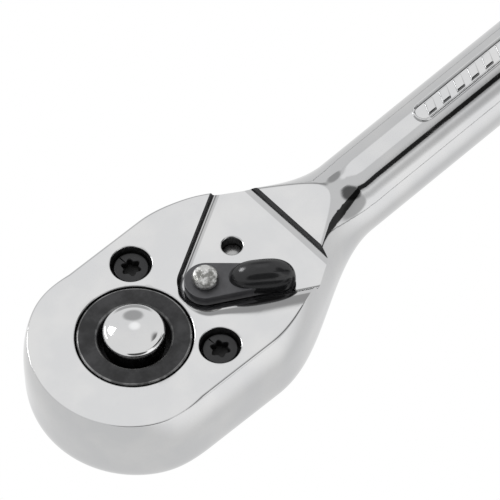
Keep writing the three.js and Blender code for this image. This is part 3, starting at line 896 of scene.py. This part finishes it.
def build_release_button(material):
    """The domed button, hollow underneath for its spring, with the rod's socket in the middle."""
    top, radius = cad("release_button", 1, 2), cad("release_button", 1, 0)
    crown_radius, shoulder_radius, shoulder_turn, crown_steps = 15.0, 0.9, 70, 10
    crown_edge = radius - shoulder_radius
    crown_centre = top - crown_radius
    crown = []
    for i in range(crown_steps, -1, -1):
        out = crown_edge * i / crown_steps
        crown.append((out, crown_centre + math.sqrt(crown_radius ** 2 - out ** 2)))
    shoulder_height = crown[0][1] - shoulder_radius * math.sin(math.radians(shoulder_turn))
    profile = [
        (0, 36), (2.5, 36), (2.5, 32), (3.4, 32), (3.4, 36), (5.2, 36), (5.2, 33),
        (radius - 0.2, 33), (radius, 33.2),
        *arc(radius - shoulder_radius, shoulder_height, shoulder_radius, 0, shoulder_turn, 8),
        *crown,
    ]
    button = turned("release_button_fine", profile, material, 128)
    return finish_piece(button, "button", "chrome", "release_button", angle=40.0)


def build_cover_screw(side, label, material, socket_material):
    """A cap screw with a six-lobed socket."""
    socket_radius, lobe, socket_depth, edge = 1.68, 0.27, 1.7, 0.25

    def star(grow):
        outline = []
        for i in range(72):
            angle = 2 * math.pi * i / 72
            radius = socket_radius + lobe * math.cos(6 * angle) + grow
            outline.append((radius * math.cos(angle), radius * math.sin(angle)))
        return outline

    screw = turned(f"cover_screw_{label}_fine", [
        (0, HEAD_BOTTOM + 0.3), (1.6, HEAD_BOTTOM + 0.3), (SCREW_SHANK, 17.2),
        (SCREW_SHANK, SCREW_HEAD_BOTTOM), (SCREW_HEAD_RADIUS - 0.1, SCREW_HEAD_BOTTOM),
        (SCREW_HEAD_RADIUS, SCREW_HEAD_BOTTOM + 0.1),
        *arc(SCREW_HEAD_RADIUS - edge, SCREW_HEAD_TOP - edge, edge, 0, 90), (0, SCREW_HEAD_TOP),
    ], material, 72)
    # The socket's walls take a darker black: painted shade.
    socket = stack("socket", [
        (SCREW_HEAD_TOP - socket_depth, star(0)), (SCREW_HEAD_TOP - 0.15, star(0)),
        (SCREW_HEAD_TOP + 0.15, star(0.3)),
    ], socket_material)
    carve(screw, [socket])
    screw.data.transform(Matrix.Translation((SCREW_X * MM, side * SCREW_Y * MM, 0)))
    return finish_piece(screw, "housing", "black_steel", f"cover_screw_{label}")


def build_pawl_pin(side, label, material):
    """A pawl's pivot pin, whose rounded end shows in the pocket's floor."""
    node = f"pawl_pin_{label}"
    low, high = cad(node, 0, 2), cad(node, 1, 2)
    pin = turned(f"{node}_fine", [
        (0, low), (PIN_RADIUS - 0.3, low), (PIN_RADIUS, low + 0.3), (PIN_RADIUS, high - 0.35),
        (PIN_RADIUS - 0.1, high - 0.12), (PIN_RADIUS - 0.4, high), (0, high),
    ], material, 64, PIN_X, side * PIN_Y)
    return finish_piece(pin, "housing", "bright_steel", node)


def selector_place():
    """Where the lever and shaft stand at rest: on their pivot, with the lever swung to one side."""
    return Matrix.Translation((PIVOT_X * MM, 0, 0)) @ Matrix.Rotation(LEVER_REST, 4, "Z")


def thumb_hump(material):
    """The lever's rounded hump: a superellipsoid cut off at its base."""
    middle, half_length, half_width = 10.85, 6.6, 3.1
    base = LEVER_BOTTOM + 0.6
    rise = cad("selector_lever", 1, 2) - base
    rows, around = 24, 64
    points = []
    for lift in quarter_turn(rows):
        spread = max(math.cos(lift) ** (2 / 2.6), 1e-3)
        height = base + rise * math.sin(lift) ** (2 / 2.6)
        for j in range(around):
            turn = 2 * math.pi * j / around
            along = math.copysign(abs(math.cos(turn)) ** (2 / 3.0), math.cos(turn))
            across = math.copysign(abs(math.sin(turn)) ** (2 / 2.2), math.sin(turn))
            points.append((middle + half_length * along * spread, half_width * across * spread, height))
    faces = ring_faces(rows + 1, around)
    faces.append(tuple(reversed(range(around))))
    faces.append(tuple(range(rows * around, (rows + 1) * around)))
    return add_mesh("hump", points, faces, material)


def build_selector_lever(material, hump_material):
    """A flat tapering plate with a rounded thumb hump on its outer half."""
    discs = [(0, 0, 4.14), (14.93, 0, 2.32)]
    edge = 0.25
    plate = stack("selector_lever_fine", [
        (LEVER_BOTTOM, belt(discs, -edge)), (LEVER_BOTTOM + edge, belt(discs)),
        (LEVER_TOP - edge, belt(discs)), (LEVER_TOP - edge * 0.3, belt(discs, -edge * 0.3)),
        (LEVER_TOP, belt(discs, -edge)),
    ], material)
    carve(plate, [thumb_hump(hump_material)], "UNION")
    carve(plate, [prism("neck_hole", rounded_square(1.8, 0.3), 30, 40, material)])
    plate.data.transform(selector_place())
    return finish_piece(plate, "selector", "black_lever", "selector_lever", angle=32.0)


def build_selector_shaft(material, head_material):
    """Cam below, square neck through the lever, and a head spread over it by hammering."""
    core_radius, lobe_distance, lobe_angle, lobe_radius = 2.2, 2.35, math.radians(126.5), 1.1
    fan_radius, fan_half_angle, groove_radius = 6.6, 48, 1.95
    cam_bottom, fan_bottom, fan_top = 20.2, 26.7, 28.1
    shaft = turned("selector_shaft_fine", [
        (0, cam_bottom), (core_radius, cam_bottom), (core_radius, fan_bottom), (SHAFT_RADIUS, fan_bottom),
        (SHAFT_RADIUS, 30), (groove_radius, 30), (groove_radius, 31.4), (SHAFT_RADIUS, 31.4),
        (SHAFT_RADIUS, 32.7), (0, 32.7),
    ], material, 64)
    lobe_x, lobe_y = lobe_distance * math.cos(lobe_angle), lobe_distance * math.sin(lobe_angle)
    cam = belt([(0, 0, core_radius), *both_sides([(lobe_x, lobe_y, lobe_radius)])], steps=48)
    fan = [(0.0, 0.0)]
    for angle in np.radians(np.linspace(-fan_half_angle, fan_half_angle, 33)):
        fan.append((fan_radius * math.cos(angle), fan_radius * math.sin(angle)))
    carve(shaft, [prism("cam", cam, cam_bottom, fan_bottom + 0.3, material)], "UNION")
    carve(shaft, [prism("fan", fan, fan_bottom, fan_top, material)], "UNION")
    carve(shaft, [prism("neck", rounded_square(1.5, 0.3), 32, 36.5, material)], "UNION")
    top = cad("selector_shaft", 1, 2)
    head = turned("rivet", [
        (0, 36.1), (2.3, 36.1), (2.58, 36.35), (2.62, 36.9), (2.55, 37.3), (2.3, top - 0.35),
        (1.8, top - 0.12), (0.9, top - 0.02), (0, top),
    ], head_material, 64)
    carve(shaft, [head], "UNION")
    shaft.data.transform(selector_place())
    return finish_piece(shaft, "selector", "bright_steel", "selector_shaft")


def build_seal(name, centre, section, height, material, x=0.0):
    """A rubber ring: centre is the radius of its round section's middle."""
    profile = []
    for i in range(20):
        angle = 2 * math.pi * i / 20
        profile.append((centre + section * math.cos(angle), height + section * math.sin(angle)))
    seal = turned(f"{name}_fine", [*profile, profile[0]], material, 96, x)
    return finish_piece(seal, "housing", "rubber", name)


def build_socket_ball(material):
    """The ball that holds a socket on the square."""
    low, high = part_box("socket_ball")
    centre = (low + high) / (2 * MM)
    radius = (high.x - low.x) / (2 * MM)
    steps = 32
    profile = [(0, centre.z - radius)]
    for i in range(1, steps):
        angle = math.pi * i / steps
        profile.append((radius * math.sin(angle), centre.z - radius * math.cos(angle)))
    profile.append((0, centre.z + radius))
    ball = turned("socket_ball_fine", profile, material, 64, centre.x, centre.y)
    return finish_piece(ball, "ball", "bright_steel", "socket_ball")


# ---- Stage: floor, sky and lights -----------------------------------------------------------------

def add_floor():
    """A pale floor just under the drive square.

    Its face ends up pointing down, so it is clear from above and solid from below.
    """
    half = 4000.0
    height = cad("drive_gear", 0, 2) - 0.2
    corners = [(x * half, y * half, height) for x, y in ((-1, -1), (1, -1), (1, 1), (-1, 1))]
    material, nodes, shader, place = new_material("floor_paint", (0.9, 0.9, 0.9), 0.0, 0.8)
    shader.inputs["Emission Color"].default_value = (1, 1, 1, 1)
    shader.inputs["Emission Strength"].default_value = 0.36
    grain = nodes.noise(place, 40.0, 2.0)
    link(nodes, nodes.mix(grain, (0.89, 0.89, 0.89, 1), (0.91, 0.91, 0.91, 1)), shader, "Base Color")
    clear = nodes.add("ShaderNodeBsdfTransparent")
    behind = nodes.add("ShaderNodeNewGeometry").outputs["Backfacing"]
    mixed = nodes.add("ShaderNodeMixShader", {0: behind, 1: shader.outputs[0], 2: clear.outputs[0]})
    output = next(node for node in nodes.tree.nodes if node.type == "OUTPUT_MATERIAL")
    nodes.tree.links.new(mixed.outputs[0], output.inputs["Surface"])
    floor = add_mesh("floor", corners, [(0, 1, 2, 3)], material)


def heading(azimuth, elevation):
    """A unit vector from degrees round from +X and up from the horizon."""
    azimuth, elevation = math.radians(azimuth), math.radians(elevation)
    return Vector((math.cos(azimuth) * math.cos(elevation), math.sin(azimuth) * math.cos(elevation),
                   math.sin(elevation)))


def add_sky():
    """A white studio tent. Dark and grey cards hang in it, so the chrome has something to show.

    The camera itself sees plain white behind the wrench.
    """
    world = bpy.data.worlds.new("tent")
    bpy.context.scene.world = world
    world.use_nodes = True
    nodes = Nodes(world.node_tree)
    way = nodes.add("ShaderNodeTexCoord").outputs["Generated"]

    def along(vector):
        dot = nodes.add("ShaderNodeVectorMath", {0: way, 1: tuple(vector)}, operation="DOT_PRODUCT")
        return dot.outputs["Value"]

    def card(vector, inner, outer):
        """1 within an angle of a direction, fading to 0 at a wider one."""
        return nodes.ramp(along(vector), math.cos(math.radians(outer)), math.cos(math.radians(inner)))

    def dim(light, cover, tone):
        """Takes the light down to a share of itself where it is covered."""
        return nodes.math("MULTIPLY", light, nodes.ramp(cover, 0.0, 1.0, 1.0, tone))

    # A long dark strip crosses the tent from over the handle down to the +X side. Off and run are
    # degrees across it and along it.
    strip_start, strip_low = heading(-58, 55), heading(-28, 12)
    pole = strip_start.cross(strip_low).normalized()
    start = (strip_start - pole * pole.dot(strip_start)).normalized()
    side = pole.cross(start)
    off = nodes.math("MULTIPLY", nodes.math("ARCSINE", along(pole)), 180 / math.pi)
    run = nodes.math("MULTIPLY", nodes.math("ARCTAN2", along(side), along(start)), 180 / math.pi)

    def share(angle, middle, half):
        """How far an angle is from the middle, squared, where 1 is the half width."""
        widths = nodes.math("DIVIDE", nodes.math("SUBTRACT", angle, middle), half)
        return nodes.math("POWER", widths, 2.0)

    def patch(off_middle, off_half, run_middle, run_half, blur):
        """1 inside an oval laid out along the strip, in degrees."""
        distance = nodes.math("ADD", share(off, off_middle, off_half), share(run, run_middle, run_half))
        return nodes.ramp(distance, 1.0, 1.0 + blur, 1.0, 0.0)

    def glow(vector, inner, outer, extra):
        """A factor that rises above 1 near a direction."""
        return nodes.math("ADD", 1.0, nodes.math("MULTIPLY", card(vector, inner, outer), extra))

    height = nodes.add("ShaderNodeSeparateXYZ", {0: way}).outputs[2]
    horizon = nodes.ramp(nodes.math("ABSOLUTE", height), 0.004, 0.02, 1.0, 0.0)
    light = nodes.ramp(along(heading(-75, 5)), 0.55, 1.0, 0.92, 1.30)
    light = nodes.math("MULTIPLY", light, glow(heading(49.5, 56.2), 2, 9, 0.34))
    light = dim(light, patch(-15.0, 11.0, 31.0, 15.0, 2.6), 0.5)
    light = dim(light, patch(10.0, 14.0, 11.0, 9.0, 2.6), 0.16)
    light = dim(light, patch(0.5, 6.6, 26.0, 36.0, 0.5), 0.05)
    light = dim(light, card(heading(-122, 33), 22, 32), 0.10)
    light = dim(light, card(heading(51, 36), 6, 14), 0.50)
    light = dim(light, horizon, 0.35)
    tent = nodes.add("ShaderNodeBackground", {"Color": (1, 1, 1, 1), "Strength": light})
    plain = nodes.add("ShaderNodeBackground", {"Color": (1, 1, 1, 1), "Strength": 1.0})
    seen = nodes.add("ShaderNodeLightPath").outputs["Is Camera Ray"]
    mixed = nodes.add("ShaderNodeMixShader", {0: seen, 1: tent.outputs[0], 2: plain.outputs[0]})
    nodes.add("ShaderNodeOutputWorld", {"Surface": mixed.outputs[0]})


def add_key_light():
    """A lamp high on the +Y side, where the head's flats don't mirror it to the camera."""
    place, target, side = Vector((-96, 659, 632)), Vector((20, 0, 30)), 250.0
    data = bpy.data.lights.new("key_light", "AREA")
    data.shape = "RECTANGLE"
    data.size = data.size_y = side * MM
    data.energy = 2.0
    light = bpy.data.objects.new("key_light", data)
    light.location = place * MM
    light.rotation_euler = (target - place).normalized().to_track_quat("-Z", "Y").to_euler()
    bpy.context.scene.collection.objects.link(light)


# ---- Assembly ---------------------------------------------------------------------------------------

add_camera()
add_floor()
add_sky()
add_key_light()

chrome = chrome_material()
# Dark steel as painted shade for the deep walls of the forging.
dark = painted_shade_steel_material()
oxide = black_oxide_material()
screw_black = black_coat_material("screw_black", 0.34)
lever_satin = black_coat_material("lever_satin", 0.40, 3.4)
lever_gloss = black_coat_material("lever_gloss", 0.17)
# A darker, rougher black in the screws' sockets: painted shade.
socket_painted_shade = black_coat_material("socket_painted_shade", 0.6, 0.3)
peened = peened_steel_material()
ground = ground_steel_material()
rubber = rubber_material()

build_handle_body(chrome, dark)
build_cover_plate(oxide)
build_drive_gear(oxide)
build_release_button(chrome_material("button_chrome", 0.70))
for side, label in ((1, "left"), (-1, "right")):
    build_cover_screw(side, label, screw_black, socket_painted_shade)
    build_pawl_pin(side, label, ground)
build_selector_lever(lever_satin, lever_gloss)
build_selector_shaft(ground, peened)
build_seal("bore_seal", 10.75, 0.42, 31.7, rubber)
build_seal("drive_seal", 9.2, 0.35, 18.0, rubber)
build_seal("selector_seal", 2.43, 0.28, 30.7, rubber, PIVOT_X)
build_socket_ball(ground)

# Hidden pieces keep their CAD shape and get a finish of their own.
hidden = {
    "thrust_washer": ground, "release_rod": ground, "release_spring": ground, "pawl_left": oxide,
    "pawl_right": oxide, "pawl_spring_left": ground, "pawl_spring_right": ground,
    "detent_ball": ground, "detent_spring": ground,
}
for node, material in hidden.items():
    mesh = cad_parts[node].data
    mesh.materials.clear()
    mesh.materials.append(material)

bpy.context.scene.view_settings.view_transform = "Standard"
